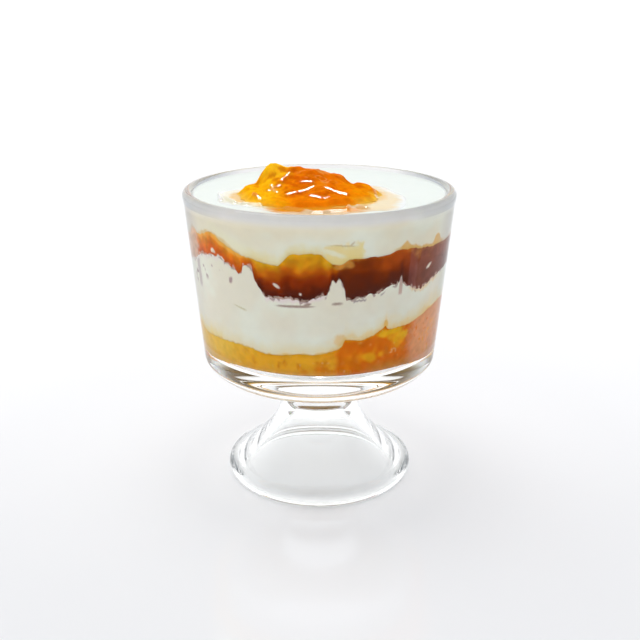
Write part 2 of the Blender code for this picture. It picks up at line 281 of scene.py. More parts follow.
def around(stations, angles):
    """Heights in metres through a boundary's stations, round the full turn and without overshoot."""
    known = np.array(sorted(stations))
    heights = np.array([stations[angle] for angle in known])
    known = np.concatenate([known[-2:] - 360, known, known[:2] + 360])
    heights = np.concatenate([heights[-2:], heights, heights[:2]])
    steps = np.diff(known)
    slopes = np.diff(heights) / steps
    before, after = slopes[:-1], slopes[1:]
    same_way = before * after > 0
    tilt = np.zeros(len(known))
    tilt[1:-1] = np.where(same_way, 2 * before * after / np.where(same_way, before + after, 1.0), 0.0)
    angles = (angles - known[0]) % 360.0 + known[0]
    place = np.clip(np.searchsorted(known, angles, side="right") - 1, 0, len(known) - 2)
    step = steps[place]
    share = (angles - known[place]) / step
    return MM * (
        heights[place] * (1 - share) ** 2 * (1 + 2 * share)
        + heights[place + 1] * share**2 * (3 - 2 * share)
        + tilt[place] * step * share * (1 - share) ** 2
        - tilt[place + 1] * step * share**2 * (1 - share)
    )


def cloud(across, along, cell, seed, octaves=3, turn=None):
    """Smooth noise from -1 to 1 on a plane, with features the size of a cell and finer ones on them.

    Where turn is given, the noise repeats after that distance across, as it must round the glass.
    """
    total = np.zeros(np.broadcast(across, along).shape)
    weight = 0.0
    for octave in range(octaves):
        size = cell / 2**octave
        count = 64 if turn is None else max(3, round(turn / size))
        pitch = size if turn is None else turn / count
        values = np.random.default_rng(seed + 17 * octave).uniform(-1.0, 1.0, (count, 64))
        x, y = across / pitch, along / size
        column, row = np.floor(x).astype(int), np.floor(y).astype(int)
        u, v = x - column, y - row
        u, v = u * u * (3 - 2 * u), v * v * (3 - 2 * v)
        near, far = values[column % count, row % 64], values[(column + 1) % count, row % 64]
        near_next = values[column % count, (row + 1) % 64]
        far_next = values[(column + 1) % count, (row + 1) % 64]
        layer = (near * (1 - u) + far * u) * (1 - v) + (near_next * (1 - u) + far_next * u) * v
        total += layer / 2**octave
        weight += 1 / 2**octave
    return total / weight * 1.4


def wall_cloud(angles, heights, cell_mm, seed, octaves=3):
    """Noise on the bowl's wall, which repeats after a full turn."""
    mean_radius = 42.0
    turn = 2 * math.pi * mean_radius
    return cloud((angles + 180.0) / 360.0 * turn, heights / MM, cell_mm, seed, octaves, turn)


def wall_clouds(angles, heights, *kinds):
    """Several noises on the wall, each from its cell and seed."""
    return [wall_cloud(angles, heights, *kind) for kind in kinds]


def skin(name, rings, paint=None):
    """A closed mesh from rings of points, all round the same way. The first and last are single points."""
    count, steps, _ = rings.shape
    body = rings[1:-1].reshape(-1, 3)
    points = np.concatenate([rings[0, :1], body, rings[-1, :1]])
    here = np.arange(steps)
    ahead = (here + 1) % steps
    faces = []
    for ring in range(count - 3):
        upper, lower = 1 + ring * steps, 1 + (ring + 1) * steps
        faces += np.stack([upper + here, lower + here, lower + ahead, upper + ahead], 1).tolist()
    faces += [(0, 1 + i, 1 + j) for i, j in zip(here.tolist(), ahead.tolist())]
    last, low = len(points) - 1, 1 + (count - 3) * steps
    faces += [(last, low + j, low + i) for i, j in zip(here.tolist(), ahead.tolist())]
    mesh = bpy.data.meshes.new(name)
    mesh.from_pydata(points.tolist(), [], faces)
    mesh.shade_smooth()
    if paint is not None:
        colours = np.concatenate([paint[0, :1], paint[1:-1].reshape(-1, 3), paint[-1, :1]])
        colours = np.concatenate([colours, np.ones((len(colours), 1))], 1)
        layer = mesh.color_attributes.new("paint", "FLOAT_COLOR", "POINT")
        layer.data.foreach_set("color", colours.astype(np.float32).ravel())
    obj = bpy.data.objects.new(name, mesh)
    bpy.context.scene.collection.objects.link(obj)
    return obj


def dress(obj, look, slot, *nodes):
    """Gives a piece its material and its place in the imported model."""
    obj.data.materials.append(look)
    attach(obj, "root")
    if nodes:
        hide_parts(*nodes)
    return obj


def arc(centre, radii, start, end, count):
    angles = np.radians(np.linspace(start, end, count))
    return [(centre[0] + radii[0] * math.cos(a), centre[1] + radii[1] * math.sin(a)) for a in angles]


def flare(top, bottom, power, count):
    shares = np.linspace(0.0, 1.0, count)
    return [(top[0] + (bottom[0] - top[0]) * s**power, top[1] + (bottom[1] - top[1]) * s) for s in shares]


def belly(count):
    end_radius = NECK_RADIUS + NECK_FILLET
    points = []
    for angle in np.radians(np.linspace(0.0, 90.0, count))[1:-1]:
        reach = math.cos(angle) ** (2 / BELLY_FULLNESS)
        drop = math.sin(angle) ** (2 / BELLY_FULLNESS)
        radius = end_radius + (WALL_FOOT[0] - end_radius) * reach
        points.append((radius, WALL_FOOT[1] - (WALL_FOOT[1] - BELLY_Z) * drop))
    return points


def inner_radius(z):
    """Radius of the bowl's inner wall at height z."""
    top_radius, top_z = RIM_RADIUS - 2 * LIP_RADIUS, GLASS_HEIGHT - LIP_RADIUS
    share = (z - INNER_LOW[1]) / (top_z - INNER_LOW[1])
    return INNER_LOW[0] + share * (top_radius - INNER_LOW[0])


def evenly(profile, step):
    """The profile's outline with points at even steps along it."""
    points = np.array(profile)
    lengths = np.concatenate([[0.0], np.cumsum(np.hypot(*np.diff(points, axis=0).T))])
    count = round(lengths[-1] / step)
    places = np.linspace(0.0, lengths[-1], count + 1)
    return np.stack([np.interp(places, lengths, points[:, axis]) for axis in (0, 1)], 1)


def softened(points, reach):
    """The outline with its bends rounded over the given reach. Its ends and its length stay."""
    half = round(2 * reach / PROFILE_STEP)
    offsets = np.arange(-half, half + 1) * PROFILE_STEP
    weights = np.exp(-0.5 * (offsets / (reach / 2)) ** 2)
    weights /= weights.sum()
    mirrored = points[half:0:-1] * [-1, 1], points[-2 : -half - 2 : -1] * [-1, 1]
    padded = np.concatenate([mirrored[0], points, mirrored[1]])
    return np.stack([np.convolve(padded[:, axis], weights, "valid") for axis in (0, 1)], 1)


def glass_profile():
    """From the middle of the bowl's floor up the inside, over the lip, down the outside and into the foot."""
    fillet_top = FLOOR_Z + FLOOR_FILLET
    fillet_centre = (inner_radius(fillet_top) - FLOOR_FILLET, fillet_top)
    lip_centre = (RIM_RADIUS - LIP_RADIUS, GLASS_HEIGHT - LIP_RADIUS)
    neck_centre = (NECK_RADIUS + NECK_FILLET, BELLY_Z - NECK_FILLET)
    bead_centre = (STAND_RADII[1], BEAD_RADII[1])
    cap_radii = (HOLLOW_NECK[0], HOLLOW_CAP)
    inside = [(0.0, FLOOR_Z)]
    inside += arc(fillet_centre, (FLOOR_FILLET, FLOOR_FILLET), -90.0, 0.0, 16)
    inside += arc(lip_centre, (LIP_RADIUS, LIP_RADIUS), 180.0, 0.0, 24)
    outside = [WALL_TOP, WALL_FOOT]
    outside += belly(60)
    outside += arc(neck_centre, (NECK_FILLET, NECK_FILLET), 90.0, 180.0, 8)
    outside += flare((NECK_RADIUS, NECK_BOTTOM_Z), BELL, BELL_FLARE, 40)
    outside += arc(bead_centre, BEAD_RADII, 40.0, -90.0, 20)
    under = [(STAND_RADII[0], 0.0)]
    under += flare(HOLLOW_NECK, HOLLOW_FOOT, HOLLOW_FLARE, 40)[::-1]
    under += arc((0.0, HOLLOW_NECK[1]), cap_radii, 0.0, 90.0, 12)[1:]
    return inside + outside + under


def even_angles(steps):
    """Angles in degrees that start behind the glass and turn to the right."""
    return -180.0 + 360.0 * np.arange(steps) / steps


def food_angles():
    """Angles round the food, closer together where it is photographed."""
    front = np.linspace(-FRONT_REACH, FRONT_REACH, FRONT_STEPS, endpoint=False)
    back = np.linspace(FRONT_REACH, 360.0 - FRONT_REACH, BACK_STEPS, endpoint=False)
    return np.concatenate([front, back])


def wrapped(angles):
    """The same angles between -180 and 180."""
    return (angles + 180.0) % 360.0 - 180.0


def painted_as(angles):
    """The angles whose colours the food has: its own at the front, and behind the front's again the other
    way round, so that they run on without a seam.
    """
    angles = wrapped(angles)
    behind = np.sign(angles) * (180.0 - np.abs(angles)) * FRONT_REACH / (180.0 - FRONT_REACH)
    return np.where(np.abs(angles) > FRONT_REACH, behind, angles)


def unit_circle(angles):
    """x and y at these angles, which are 0 at the photographed front."""
    return np.sin(np.radians(angles)), -np.cos(np.radians(angles))


def make_glass(look, wall_look, rim_look):
    """The glass. The outside of its wall mirrors less of the white table, and its rim is greyer at its sides,
    as painted shade.
    """
    profile = softened(evenly(glass_profile(), PROFILE_STEP), PROFILE_SOFTNESS)
    profile[:, 0] = np.maximum(profile[:, 0], 0.0)
    profile[0, 0] = profile[-1, 0] = 0.0
    x, y = unit_circle(even_angles(GLASS_STEPS))
    radius, z = profile[:, 0, None], profile[:, 1, None]
    rings = np.stack([radius * x, radius * y, z + 0 * x], 2)
    glass = skin("clear_glass_dish", rings)
    dress(glass, look, "clear_glass", "glass")
    glass.data.materials.append(wall_look)
    glass.data.materials.append(rim_look)
    lip = int(np.argmax(profile[:, 1]))
    heights = profile[:, 1]
    outside = np.arange(len(heights)) > lip
    looks = np.where(outside & (WALL_LOOK[0] < heights) & (heights < WALL_LOOK[1]), 1, 0)
    looks = np.where(heights >= RIM_LOOK, 2, looks)
    for face in glass.data.polygons:
        ring = 1 + face.index // GLASS_STEPS
        if ring < len(looks):
            face.material_index = int(looks[ring])
    return glass


def food_layer(name, low, high, rows, look, slot, node, paint, cap=None, base=None):
    """Food between two boundaries. low and high are heights in metres on the wall, one for each angle.

    cap and base give further rings (radius share, heights) inside the wall, from the wall inwards.
    """
    angles = food_angles()
    x, y = unit_circle(angles)
    rise = np.linspace(1.0, 0.0, rows + 1)[:, None]
    wall_z = low + (high - low) * rise
    wall_r = inner_radius(wall_z) + WALL_BITE
    caps = calm_rings(high) if cap is None else cap(high)
    bases = calm_rings(low) if base is None else base(low)
    top_r = np.array([share * wall_r[0] for share, _ in caps[::-1]])
    top_z = np.array([heights for _, heights in caps[::-1]])
    low_r = np.array([share * wall_r[-1] for share, _ in bases])
    low_z = np.array([heights for _, heights in bases])
    radius = np.concatenate([top_r, wall_r, low_r])
    z = np.concatenate([top_z, wall_z, low_z])
    rings = np.stack([radius * x, radius * y, z], 2)
    on_wall = np.concatenate([np.zeros(len(top_r)), np.ones(len(wall_r)), np.zeros(len(low_r))])
    colours = paint(painted_as(angles), z, high, low, rings, on_wall)
    layer = skin(name, rings, colours)
    return dress(layer, look, slot, node)


def crags(angles, height_mm, cell_mm, seed):
    """Teeth and notches for a boundary, finer and finer."""
    coarse = wall_cloud(angles, 0 * angles, cell_mm, seed)
    sharp = 1 - 2 * np.abs(wall_cloud(angles, 0 * angles, 0.6 * cell_mm, seed + 100, 2))
    return height_mm * MM * (0.7 * coarse + 0.3 * sharp - 0.1)


def calm_rings(heights):
    """A boundary's way inwards from the wall, which grows calmer towards the middle."""
    mean = heights.mean()
    shares = (0.97, 0.85, 0.6, 0.3, 0.0)
    return [(share, mean + (heights - mean) * share**2) for share in shares]


def yogurt_surface(x, y):
    """Height of the yogurt's top: nearly level, highest in the middle, with the spoon's faint waves."""
    share = np.hypot(x, y) / inner_radius(YOGURT_WALL_Z)
    waves = 0.16 * MM * cloud(x / MM + 80, y / MM + 80, 16.0, 5, 2) * (1 - share**4)
    return YOGURT_WALL_Z + YOGURT_CROWN * (1 - share**2) + waves


def surface_rings(heights):
    """The yogurt's top from the wall to the middle, fine enough to show its waves."""
    x, y = unit_circle(food_angles())
    x, y = inner_radius(YOGURT_WALL_Z) * x, inner_radius(YOGURT_WALL_Z) * y
    return [(share, yogurt_surface(share * x, share * y)) for share in np.linspace(0.985, 0.0, 60)]


def jam_edge(angles):
    """Height at which the lowest jam leaves the wall, lower at the sides."""
    return JAM_EDGE_Z - JAM_EDGE_DROP * smooth(36, 76, np.abs(angles)) * smooth(150, 110, np.abs(angles))


def floor_rings(heights):
    """The underside of the lowest jam. Below its visible edge it stays clear of the glass, so that the base
    mirrors its surroundings there.
    """
    centre_z = FLOOR_Z + FLOOR_FILLET
    centre_r = inner_radius(centre_z) - FLOOR_FILLET
    wall_r = inner_radius(centre_z) + WALL_BITE
    edge = jam_edge(wrapped(food_angles()))
    rings = []
    for angle in np.radians(np.linspace(2.0, 90.0, 30)):
        z = centre_z - FLOOR_FILLET * math.sin(angle)
        offset = WALL_BITE - (WALL_BITE + FLOOR_AIR) * smooth(edge + 0.3 * MM, edge, z)
        radius = FLOOR_FILLET + offset
        share = (centre_r + radius * math.cos(angle)) / wall_r
        rings.append((share, 0 * heights + centre_z - radius * math.sin(angle)))
    low = FLOOR_Z + FLOOR_AIR
    return rings + [(share, 0 * heights + low) for share in (0.6, 0.3, 0.0)]


def patch(angles, z, centre, size, seed, edge=0.5, ragged=0.5, cell=2.5, tilt=0.0):
    """A ragged patch on the wall: 1 inside and 0 outside. Centre and half size are in degrees and mm, and the
    tilt is how many mm it rises for each degree to the right.
    """
    across = angles - centre[0]
    away = np.hypot(across / size[0], (z / MM - centre[1] - tilt * across) / size[1])
    away = away + ragged * wall_cloud(angles, z, cell, seed)
    return smooth(1.0 + edge / 2, 1.0 - edge / 2, away)


def between(angles, low, high, fade):
    """1 between two angles and 0 outside them, with soft ends."""
    return smooth(low - fade, low + fade, angles) * smooth(high + fade, high - fade, angles)


def patches(angles, z, places):
    """Several ragged patches together, each with its strength."""
    return np.max([strength * patch(angles, z, *shape) for strength, *shape in places], axis=0)


def coated(colour, tone=seen, coats=()):
    """The colour with coats laid over it one by one: each the look on screen, and how much of it covers."""
    for look, cover in coats:
        colour = blend(colour, tone(*look), cover)
    return colour


def graded(share, *stops):
    """Colours along a scale from 0 to 1, from stops of (share, look on screen)."""
    places = [place for place, _ in stops]
    colours = np.array([seen(*look) for _, look in stops])
    return np.stack([np.interp(share, places, column) for column in colours.T], -1)


def paint_orange_jam(angles, z, high, low, rings, on_wall):
    """Bottom jam: gold at the left, orange in the middle, deep orange with yellow fruit to the right."""
    depth = (high - z) / MM
    broad, fine, grain = wall_clouds(angles, z, (8.0, 21), (2.4, 22), (1.1, 25, 2))
    colour = blend(seen(252, 172, 60), seen(250, 156, 32), smooth(-52, -22, angles + 12 * broad))
    brown = smooth(0.1, 0.7, fine + 0.3 * grain) * smooth(-50, -20, angles)
    deep = smooth(0.3, 0.8, fine - 0.5 * broad) * smooth(5, 16, angles)
    top_rim = smooth(1.3, 0.2, depth + 0.6 * fine) * smooth(34, 28, np.abs(angles)) * smooth(-40, -25, angles)
    pale_foot = smooth(56.6, 54.2, z / MM + 0.9 * fine) * smooth(16, 4, angles)
    right_foot = smooth(57.5, 54.0, z / MM + 0.9 * fine) * smooth(18, 28, angles)
    right_reflection = smooth(44, 52, angles + 1.5 * fine) * smooth(92, 72, angles + 6 * broad)
    colour = coated(colour, coats=(
        ((204, 100, 2), smooth(-3, 13, angles + 9 * broad + 4 * fine)),
        ((198, 116, 14), 0.8 * brown),
        ((218, 142, 8), smooth(0.15, 0.75, broad - 0.4 * fine) * smooth(8, 20, angles)),
        ((192, 88, 2), 0.8 * deep),
        ((216, 160, 18), patches(angles, z, YELLOW_FRUIT)),
        ((206, 136, 14), 0.6 * top_rim),
        ((232, 160, 70), 0.4 * pale_foot),
        ((196, 134, 54), 0.7 * right_foot),
        # Painted reflection: a pink veil over the jam's right side.
        ((210, 144, 100), 0.92 * right_reflection * smooth(1.4, 0.4, 0.6 * broad + grain)),
        ((240, 200, 128), 0.35 * smooth(0.80, 1.0, grain) * smooth(44, 38, angles)),
    ))
    true_angles = wrapped(food_angles())
    edge_z = jam_edge(true_angles)
    # At the back, just above the jam's edge, the wall too takes the underside's painted light and shade, for
    # its mirror image in the base.
    mirrored = smooth(158, 168, np.abs(true_angles) + 3 * fine) * smooth(58.2, 57.0, z / MM + 0.7 * fine)
    own = smooth(edge_z - 0.6 * MM, edge_z - 0.2 * MM, z) * (1 - mirrored)
    underside = paint_underside_light_and_shade(true_angles, z, np.hypot(rings[..., 0], rings[..., 1]))
    return blend(underside, colour, own)


def paint_underside_light_and_shade(angles, z, radius):
    """The lowest jam's underside, seen only mirrored in the thick base: painted light in pale, painted shade
    in olive near the back, and golden brown over the neck.
    """
    # Painted shade in olive, painted light in pale.
    olive = between(np.abs(angles) + 0.5 * wall_cloud(angles, z, 2.4, 28), 163, 177, 2.5)
    colour = blend(linear(236, 238, 236), linear(138, 108, 48), olive)
    return blend(colour, linear(212, 168, 100), smooth(25 * MM, 23 * MM, radius))


def paint_dark_jam(angles, z, high, low, rings, on_wall):
    """Dark jam: ochre where it thins out at its top, then orange, and dark maroon along its foot."""
    broad, fine, grain = wall_clouds(angles, z, (9.0, 31), (2.2, 32), (1.0, 33, 2))
    rise = (z - low) / MM
    share = np.clip((high - z) / np.maximum(high - low, MM), 0.0, 1.0)
    share = np.clip(share + 0.13 * broad + 0.09 * fine + 0.03 * grain, 0.0, 1.0)
    middle = graded(
        share, (0.0, (208, 158, 30)), (0.14, (202, 140, 12)), (0.34, (180, 88, 3)),
        (0.55, (134, 43, 0)), (0.78, (88, 23, 2)), (1.0, (68, 20, 6)),
    )
    left = graded(
        share, (0.0, (222, 158, 66)), (0.25, (212, 122, 20)), (0.65, (198, 88, 6)),
        (1.0, (176, 76, 22)),
    )
    right = graded(
        share, (0.0, (178, 108, 24)), (0.12, (132, 52, 3)), (0.5, (94, 29, 1)),
        (0.8, (84, 28, 6)), (1.0, (74, 27, 14)),
    )
    colour = blend(left, middle, smooth(-36, -25, angles + 5 * broad))
    colour = blend(colour, right, smooth(4, 10, angles + 2.5 * fine))
    glow = between(angles, 26, 42, 5) * smooth(0.75, 0.2, share)
    ochre = patch(angles, z, (9.6, 92.6), (4.2, 1.6), 39, 0.7, 0.5, 2.0)
    right_reflection = smooth(44, 50, angles + 2 * fine) * smooth(100, 84, angles)
    pale = smooth(-64, -70, angles + 2 * fine) * smooth(-100, -84, angles)
    torn = smooth(0.42, 0.62, grain + 0.5 * fine + 0.9 * smooth(1.3, 0.0, rise) - 0.35)
    return coated(colour, coats=(
        ((164, 66, 3), 0.85 * glow),
        ((190, 128, 52), 0.85 * ochre),
        # Painted reflections: a pinkish veil at the right, a thin streak right of the middle and a pale veil
        # at the left.
        ((132, 78, 62), 0.6 * right_reflection),
        ((150, 92, 84), 0.35 * between(angles, 42.4, 47.6, 0.7)),
        ((206, 176, 152), 0.8 * pale),
        ((206, 176, 160), 0.6 * torn * smooth(1.6, 0.6, rise)),
        # Pale flecks: yogurt specks and painted highlights.
        ((232, 206, 188), 0.9 * patches(angles, z, PALE_FLECKS)),
    ))


def paint_yogurt_top(angles, z, high, low, rings, on_wall):
    """Upper yogurt: warm grey white through the wall, stained ochre where jam shows through it, with painted
    light: lighter to the right, greyer at the sides and lighter just under the rim.
    """
    rise = (z - low) / MM
    broad, fine = wall_clouds(angles, z, (12.0, 41), (2.8, 42))
    # Painted light: lighter towards the right.
    colour = blend(seen(216, 208, 186), seen(224, 219, 203), smooth(-0.5, 0.6, broad + 0.012 * angles))
    creamy = between(angles, -52, -22, 8) * smooth(5.5, 2.0, rise)
    halo = smooth(1.5, 0.0, rise + 0.7 * fine) * (1 - between(angles, 19, 33, 3))
    haze = smooth(4.2, 0.6, rise + 1.2 * fine) * between(angles, -34, 17, 4)
    stain_top = 99.3 + 1.1 * fine + 0.10 * (angles - 8)
    stain = smooth(stain_top, stain_top - 0.9, z / MM) * between(angles + 2.2 * fine, 2.5, 18.5, 1.0)
    stain = stain * (1 - 0.7 * patch(angles, z, (4.5, 96.6), (6.0, 0.8), 46, 0.9, 0.5, 3.0, -0.25))
    crown = 1.6 + 1.9 * bump(angles, 39.5, 3.2) + 3.0 * bump(angles, 61.5, 5.5)
    right = smooth(crown, crown - 1.0, rise + 0.7 * fine) * between(angles, 36, 68, 1.5)
    side = smooth(60, 74, np.abs(angles)) * smooth(104, 88, np.abs(angles))
    colour = coated(colour, coats=(
        ((222, 214, 186), 0.8 * creamy),
        ((206, 170, 96), 0.75 * halo),
        ((214, 198, 140), 0.6 * haze),
        ((220, 196, 124), 0.8 * stain * smooth(-1.2, 0.3, fine + 0.6 * broad + 0.4)),
        ((160, 128, 60), 0.5 * patches(angles, z, JAM_LINES)),
        ((208, 160, 74), 0.85 * right),
        # Painted reflection: greyer towards both sides.
        ((190, 182, 178), 0.5 * side),
        # Painted reflection: lighter just under the rim.
        ((242, 236, 228), 0.9 * smooth(103.8, 106.6, z / MM)),
    ))
    return blend(lit(243, 250, 243), colour, on_wall[:, None])


def paint_yogurt_middle(angles, z, high, low, rings, on_wall):
    """Middle yogurt: grey white, beige over the lower jam, with thin jam dragged along its torn top."""
    depth = (high - z) / MM
    rise = (z - low) / MM
    broad, fine, grain = wall_clouds(angles, z, (12.0, 51), (2.2, 52), (1.0, 58, 2))
    colour = blend(seen(217, 211, 194), seen(225, 219, 204), smooth(-0.5, 0.7, broad))
    left_bleed = smooth(3.6, 0.2, rise + 0.9 * fine) * smooth(-44, -62, angles)
    right_bleed = smooth(2.6, 0.5, rise + 1.2 * fine) * between(angles, 4, 60, 4)
    streaked = between(angles, -24, 2, 2) + 0.6 * smooth(-40, -48, angles)
    torn = smooth(0.5, 0.75, grain + 0.4 * fine + 0.8 * smooth(1.2, 0.0, depth) - 0.25)
    dots = smooth(0.30, 0.52, wall_cloud(angles, z * 0.8, 2.0, 53, 2)) * smooth(-46, -51, angles)
    dots = dots * smooth(3.2, 4.6, depth) * smooth(9.4, 6.6, depth) * smooth(-80, -72, angles)
    dots = np.maximum(dots, patch(angles, z, (-42.4, 84.0), (1.2, 1.1), 59, 0.6, 0.5, 1.5, 0.5))
    left_reflection = between(angles + 0.5 * fine, -70.5, -67.0, 0.8) * smooth(76.5, 79, z / MM)
    dashes = smooth(0.0, 0.35, wall_cloud(angles, 0 * z, 2.4, 57, 2)) * between(angles, 11, 30, 1)
    thread = between(angles, 37.3, 39.2, 0.35) * smooth(79.6, 80.4, z / MM)
    cream = smooth(1.9, 0.5, depth + 0.6 * fine) * between(angles, 44, 66, 2)
    olive = patch(angles, z, (-38.2, 75.3), (3.6, 0.32), 60, 0.7, 0.3, 2.0, -0.14)
    return coated(colour, coats=(
        ((218, 202, 162), 0.8 * smooth(6.5, 0.6, rise + fine + 1.5 * broad)),
        ((236, 196, 120), 0.8 * left_bleed),
        ((222, 178, 92), 0.85 * smooth(0.9, 0.0, rise + 0.5 * fine)),
        ((222, 190, 130), 0.7 * right_bleed),
        ((218, 200, 202), 0.75 * streaked * smooth(2.2, 0.2, depth + 0.5 * fine)),
        ((126, 84, 78), 0.65 * torn * smooth(1.7, 0.5, depth)),
        # Purple-brown dots in the left crags: bits of jam, with painted shade in the pits.
        ((142, 104, 112), 0.8 * dots),
        # Painted reflection: a mauve veil in a narrow band at the left.
        ((158, 134, 142), 0.6 * left_reflection * smooth(0.5, 1.5, depth)),
        ((140, 112, 100), 0.85 * patches(angles, z, SMEARS)),
        ((132, 112, 116), 0.8 * dashes * bump(depth, 1.1, 0.6)),
        ((172, 132, 120), 0.75 * thread * smooth(0.1, 0.8, depth)),
        ((222, 196, 158), 0.85 * cream),
        ((214, 166, 70), 0.8 * patches(angles, z, SPIKES)),
        ((186, 178, 142), 0.8 * olive),
    ))


def filled(tree, node, inputs):
    """The node with its inputs linked to sockets or set to plain values."""
    for name, value in inputs.items():
        if isinstance(value, bpy.types.NodeSocket):
            tree.links.new(value, node.inputs[name])
        else:
            node.inputs[name].default_value = value
    return node


def add_node(tree, kind, inputs, **settings):
    node = tree.nodes.new("ShaderNode" + kind)
    for name, value in settings.items():
        setattr(node, name, value)
    return filled(tree, node, inputs)


def mixed(tree, first, second, factor):
    """A colour mix over two sockets or colours."""
    first, second = ((*look, 1.0) if isinstance(look, tuple) else look for look in (first, second))
    return add_node(tree, "Mix", {6: first, 7: second, 0: factor}, data_type="RGBA").outputs[2]


def noise(tree, place, scale, detail):
    inputs = {"Vector": place, "Scale": scale, "Detail": detail}
    return add_node(tree, "TexNoise", inputs).outputs["Fac"]


def ranged(tree, value, low, high, to_low=0.0, to_high=1.0):
    inputs = {"Value": value, "From Min": low, "From Max": high, "To Min": to_low, "To Max": to_high}
    return add_node(tree, "MapRange", inputs).outputs["Result"]


def calculated(tree, operation, first, second=0.0, clamp=True):
    inputs = {0: first, 1: second}
    return add_node(tree, "Math", inputs, operation=operation, use_clamp=clamp).outputs[0]


def new_material(name):
    made = bpy.data.materials.new(name)
    made.use_nodes = True
    tree = made.node_tree
    return made, tree, tree.nodes["Principled BSDF"]


def painted(name, roughness, specular, mottle, mottle_scale, relief, subsurface, reach):
    """Food coloured by its paint, mottled and bumped by noise."""
    made, tree, shader = new_material(name)
    paint = add_node(tree, "VertexColor", {}, layer_name="paint").outputs["Color"]
    place = add_node(tree, "TexCoord", {}).outputs["Object"]
    fleck = ranged(tree, noise(tree, place, mottle_scale, 4.0), 0.35, 0.65, 1.0 - mottle, 1.0 + mottle)
    scaled = add_node(tree, "VectorMath", {0: paint, "Scale": fleck}, operation="SCALE")
    grain = noise(tree, place, 1.6 * mottle_scale, 3.0)
    bumps = add_node(tree, "Bump", {"Strength": 0.4, "Distance": relief, "Height": grain})
    filled(tree, shader, {
        "Base Color": scaled.outputs["Vector"], "Roughness": roughness, "Specular IOR Level": specular,
        "Subsurface Weight": subsurface, "Subsurface Radius": reach, "Subsurface Scale": 2.0 * MM,
        "Normal": bumps.outputs["Normal"],
    })
    return made


def glass_material(name, ior, tint, side_shade=None):
    """Clear glass, tinted dark as painted shade where it is seen edge on. Lamps shine straight through it, so
    that they light the food.
    """
    made, tree, shader = new_material(name)
    facing = add_node(tree, "LayerWeight", {"Blend": 0.5}).outputs["Facing"]
    if side_shade:
        place = add_node(tree, "TexCoord", {}).outputs["Object"]
        split = add_node(tree, "SeparateXYZ", {0: place}).outputs
        sideways = calculated(tree, "ABSOLUTE", split["X"], clamp=False)
        # Painted shade: the rim greys towards its left and right sides.
        tint = mixed(tree, tint, side_shade, ranged(tree, sideways, *RIM_SIDE))
    # Painted shade: the glass darkens where it is seen edge on.
    colour = mixed(tree, tint, OUTLINE_SHADE, ranged(tree, facing, *OUTLINE_FACING))
    filled(tree, shader, {"Base Color": colour, "Roughness": 0.0, "IOR": ior, "Transmission Weight": 1.0})
    rays = add_node(tree, "LightPath", {}).outputs
    clear = add_node(tree, "BsdfTransparent", {"Color": (*SHADOW_TINT, 1.0)})
    inputs = {"Fac": rays["Is Shadow Ray"], 1: shader.outputs["BSDF"], 2: clear.outputs["BSDF"]}
    mix = add_node(tree, "MixShader", inputs)
    tree.links.new(mix.outputs["Shader"], tree.nodes["Material Output"].inputs["Surface"])
    return made


def lump_height(x, y):
    """How far the heap stands over its edge: its lumps, blended where they meet."""
    total = np.zeros_like(x)
    for lump_x, lump_y, radius, height in HEAP_LUMPS:
        distance = np.hypot(x / MM - lump_x, y / MM - lump_y) / radius
        total += (height * np.maximum(1 - distance**2, 0.0)) ** LUMP_BLEND
    return MM * total ** (1 / LUMP_BLEND)


def strand(x, y, middle, half_length, half_width, heading, bend=0.0):
    """A smooth ridge: 1 along its middle line and 0 from half its width away."""
    along = (x - middle[0]) * math.cos(heading) + (y - middle[1]) * math.sin(heading)
    across = -(x - middle[0]) * math.sin(heading) + (y - middle[1]) * math.cos(heading) + bend * along**2
    past = np.maximum(np.abs(along) - half_length, 0.0)
    return smooth(1.0, 0.0, np.hypot(across, past) / half_width)


def shred_height(x, y):
    """Ridges that the shreds of peel and fruit raise in the heap."""
    rng = np.random.default_rng(11)
    ridge = np.zeros_like(x)
    for _ in range(SHRED_COUNT):
        turn, reach = rng.uniform(0, 2 * math.pi), math.sqrt(rng.uniform(0, 1))
        middle = (
            HEAP_CENTRE[0] + 0.86 * HEAP_RADII[0] * reach * math.cos(turn),
            HEAP_CENTRE[1] + 0.86 * HEAP_RADII[1] * reach * math.sin(turn),
        )
        heading = rng.normal(0.0, 0.75)
        half_length, half_width = rng.uniform(1.6, 4.2) * MM, rng.uniform(1.0, 1.9) * MM
        bend = rng.uniform(-0.12, 0.12) / MM
        height = rng.uniform(0.2, 0.36) * half_width
        ridge = np.maximum(ridge, height * strand(x, y, middle, half_length, half_width, heading, bend))
    for half_width, nearness in wet_strands(x, y, STRAND_FOOT):
        ridge = np.maximum(ridge, STRAND_HEIGHT * half_width * MM * nearness)
    return ridge


def wet_strands(x, y, breadth):
    """Each wet strand's half width in mm, and 1 on its middle line down to 0 at breadth times that width."""
    for place_x, place_y, half_length, half_width, heading in STRANDS:
        middle = (place_x, place_y)
        reach = breadth * half_width
        yield half_width, strand(x / MM, y / MM, middle, half_length, reach, math.radians(heading))


def shine_on_strands(heap, look):
    """Gives the faces on the wet strands their own look."""
    faces = heap.data.polygons
    centres, normals = np.zeros(3 * len(faces)), np.zeros(3 * len(faces))
    faces.foreach_get("center", centres)
    faces.foreach_get("normal", normals)
    wet = np.zeros(len(faces), bool)
    for _, nearness in wet_strands(centres[0::3], centres[1::3], STRAND_SHINE):
        wet |= nearness > 0.2
    wet &= normals[2::3] > 0.0
    heap.data.materials.append(look)
    faces.foreach_set("material_index", wet.astype(np.int32))


def laid_on_yogurt(x, y, base, top, step, sink):
    """Rings of a closed piece on the yogurt: its top from the middle out, then a coarser underside."""
    below = slice(None, None, -step)
    under = np.stack([x[below], y[below], base[below] - sink], 2)
    under[-1] = (x[0, 0], y[0, 0], base[0, 0] - sink)
    return np.concatenate([np.stack([x, y, top], 2), under])


